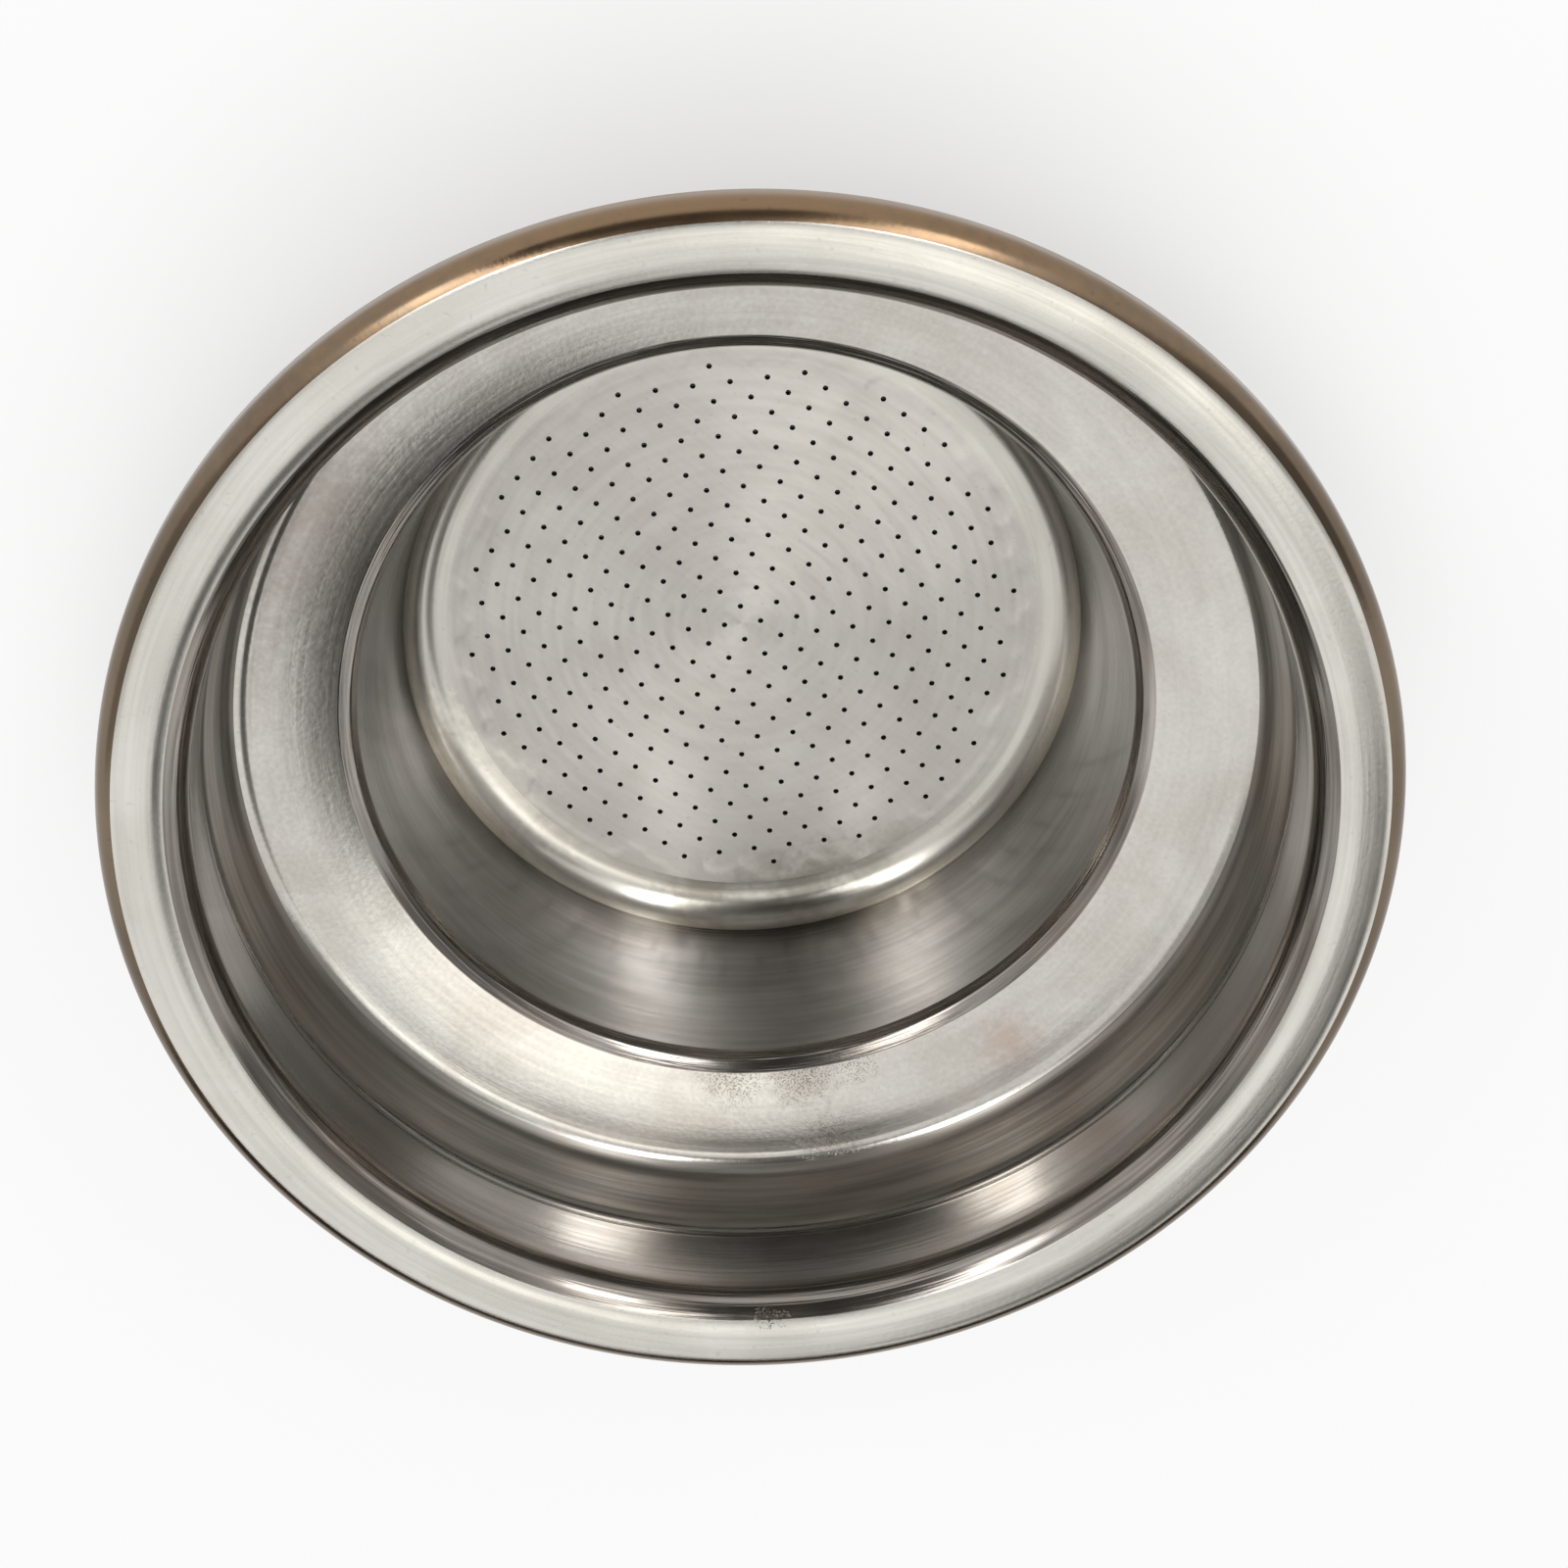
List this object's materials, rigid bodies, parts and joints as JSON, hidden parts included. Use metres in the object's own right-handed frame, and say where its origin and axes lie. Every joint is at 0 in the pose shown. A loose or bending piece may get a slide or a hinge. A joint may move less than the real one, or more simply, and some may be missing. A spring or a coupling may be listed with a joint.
{
  "type": "espresso filter basket",
  "caption": "Stepped round coffee filter basket of satin steel sheet: perforated flat floor, tapered well, sloping ledge, beaded bowl and turned-down rim.",
  "frame": {"origin": "middle of the underside of the floor, on which the basket stands", "axes": "+Z along the axis of revolution, from the floor towards the mouth; +X and +Y along the rows of the hole grid"},
  "size_m": [0.07, 0.07, 0.0291],
  "materials": {
    "steel": "satin"
  },
  "bodies": {
    "root": {"filter_basket": "steel"}
  },
  "joints": []
}
